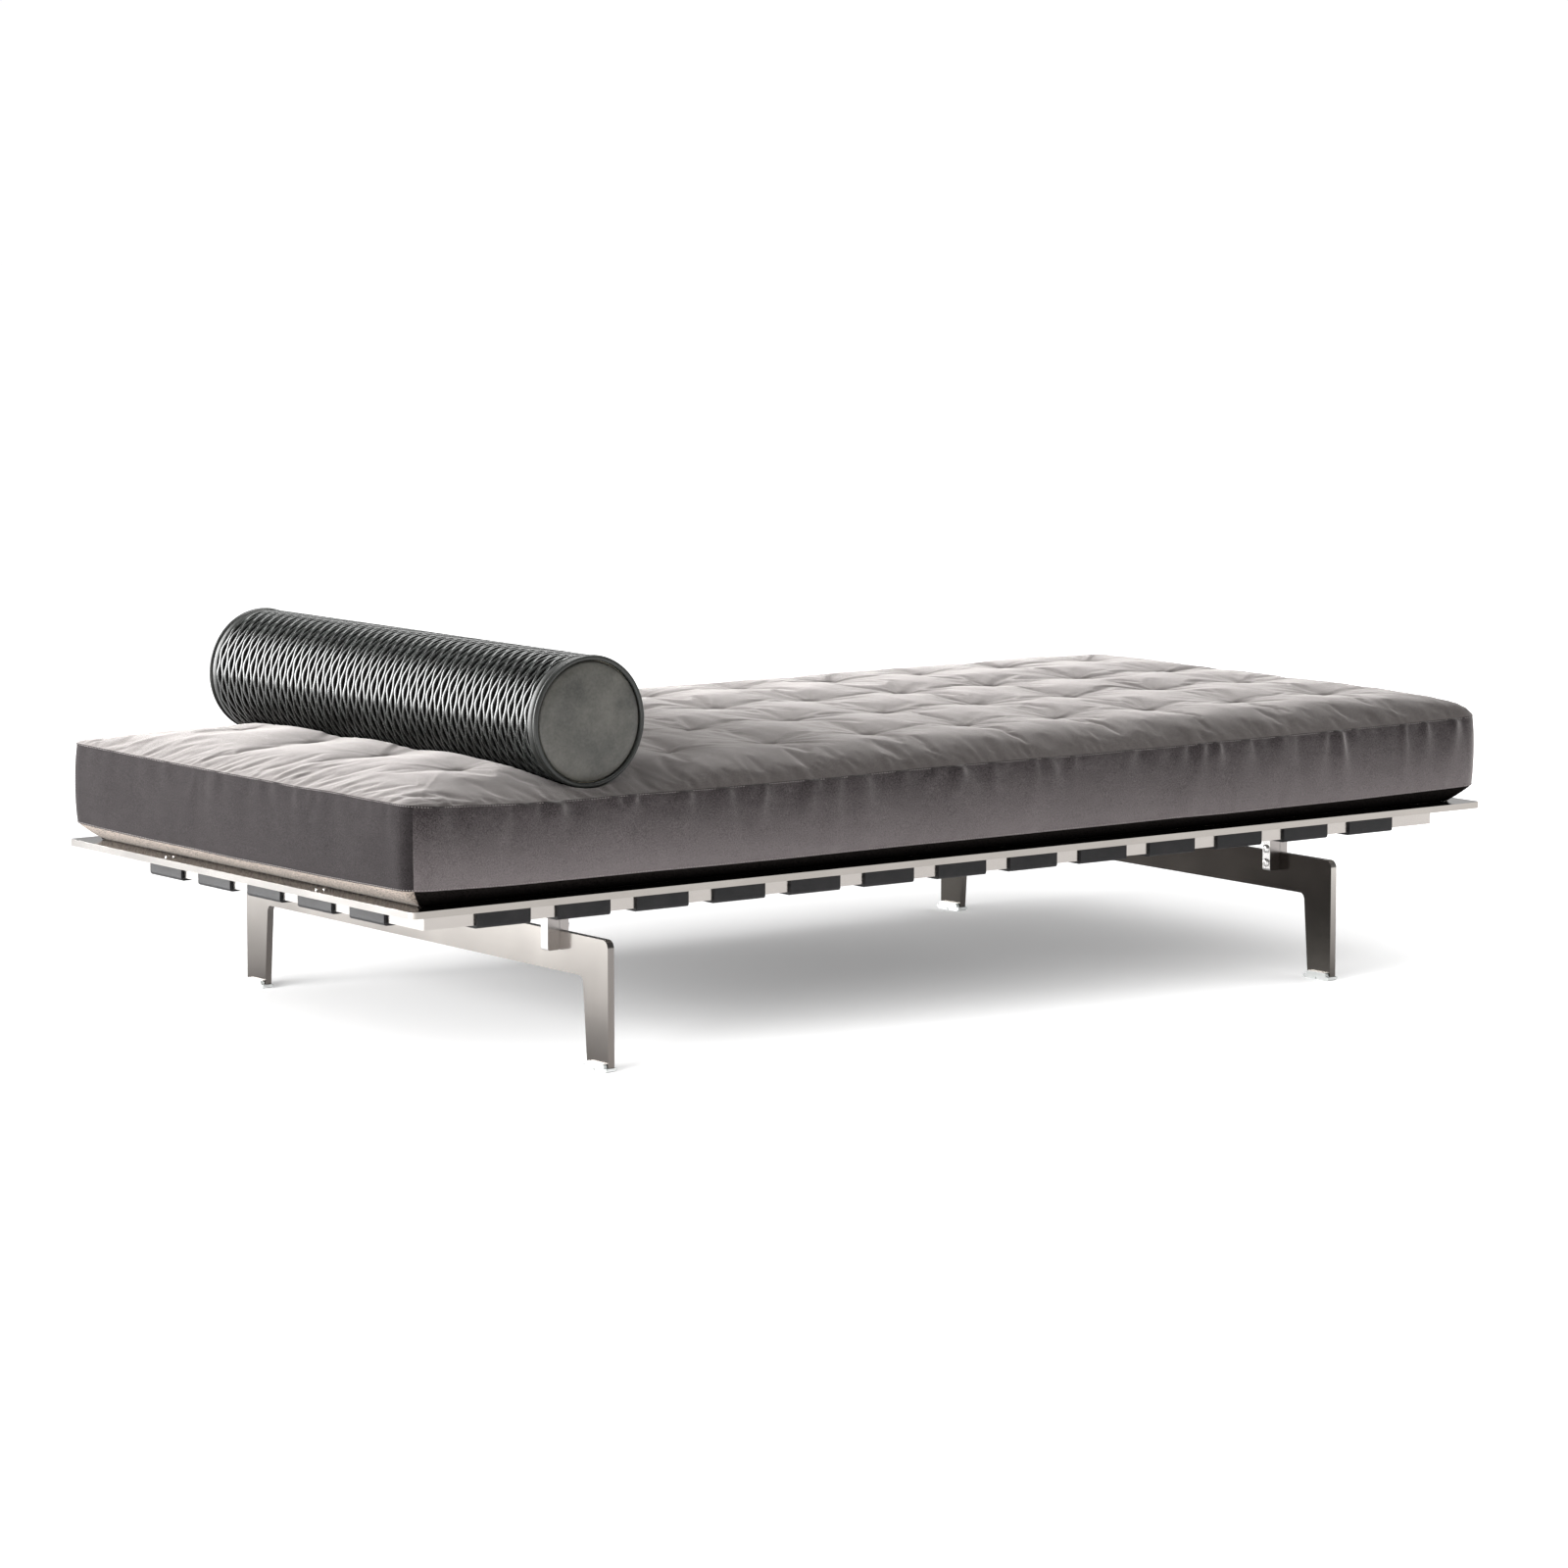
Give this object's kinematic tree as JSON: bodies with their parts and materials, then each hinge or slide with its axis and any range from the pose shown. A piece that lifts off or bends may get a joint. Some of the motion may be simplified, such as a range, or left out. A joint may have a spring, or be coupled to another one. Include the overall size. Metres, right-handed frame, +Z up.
{
  "type": "daybed",
  "caption": "Low steel-framed daybed with woven leather straps, a tufted mattress and a round bolster, for lying or sitting on.",
  "frame": {"origin": "on the floor, below the middle of the frame", "axes": "+X along the length towards the foot end (the bolster lies at -X), +Y across the width towards the rear, +Z up"},
  "size_m": [2, 0.977, 0.585],
  "materials": {
    "plate_steel": "polished nickel tone",
    "rail_steel": "satin",
    "leg_steel": "polished nickel tone",
    "clamp_steel": "satin",
    "fastener_steel": "satin",
    "strap_leather": "smooth saddle leather",
    "glide_clear": "clear",
    "foam": "foam",
    "velvet": "short velvet pile",
    "under_cloth": "close technical weave",
    "woven_leather": "polished woven strips",
    "cap_leather": "smooth"
  },
  "bodies": {
    "frame": {"side_plate_front": "plate_steel", "side_plate_rear": "plate_steel", "end_plate_head": "plate_steel", "end_plate_foot": "plate_steel", "side_rail_front": "rail_steel", "side_rail_rear": "rail_steel", "end_rail_head": "rail_steel", "end_rail_foot": "rail_steel", "cross_strap_1": "strap_leather", "cross_strap_2": "strap_leather", "cross_strap_3": "strap_leather", "cross_strap_4": "strap_leather", "cross_strap_5": "strap_leather", "cross_strap_6": "strap_leather", "cross_strap_7": "strap_leather", "cross_strap_8": "strap_leather", "cross_strap_9": "strap_leather", "cross_strap_10": "strap_leather", "cross_strap_11": "strap_leather", "cross_strap_12": "strap_leather", "cross_strap_13": "strap_leather", "long_strap_1": "strap_leather", "long_strap_2": "strap_leather", "long_strap_3": "strap_leather", "long_strap_4": "strap_leather", "long_strap_5": "strap_leather", "side_strap_screws": "fastener_steel", "end_strap_screws": "fastener_steel", "plate_screws": "fastener_steel", "mattress_stops": "fastener_steel", "leg_plate_head": "leg_steel", "leg_plate_foot": "leg_steel", "clamp_block_head_front": "clamp_steel", "clamp_block_head_rear": "clamp_steel", "clamp_block_foot_front": "clamp_steel", "clamp_block_foot_rear": "clamp_steel", "clamp_jaw_head_front": "clamp_steel", "clamp_jaw_head_rear": "clamp_steel", "clamp_jaw_foot_front": "clamp_steel", "clamp_jaw_foot_rear": "clamp_steel", "clamp_bolts": "fastener_steel", "clamp_hanger_screws": "fastener_steel", "glide_head_front": "glide_clear", "glide_head_rear": "glide_clear", "glide_foot_front": "glide_clear", "glide_foot_rear": "glide_clear", "glide_screws": "fastener_steel"},
    "mattress": {"mattress_core": "foam", "mattress_top": "velvet", "mattress_border": "velvet", "mattress_underside": "under_cloth"},
    "bolster": {"bolster_core": "foam", "bolster_sleeve": "woven_leather", "bolster_cap_front": "cap_leather", "bolster_cap_rear": "cap_leather", "bolster_piping": "cap_leather"}
  },
  "joints": [
    {"name": "mattress_lift", "type": "slide", "parent": "frame", "child": "mattress", "axis": [0, 0, 1], "range_m": [0, 0.25]},
    {"name": "bolster_lift", "type": "slide", "parent": "mattress", "child": "bolster", "axis": [0, 0, 1], "range_m": [0, 0.25]}
  ]
}
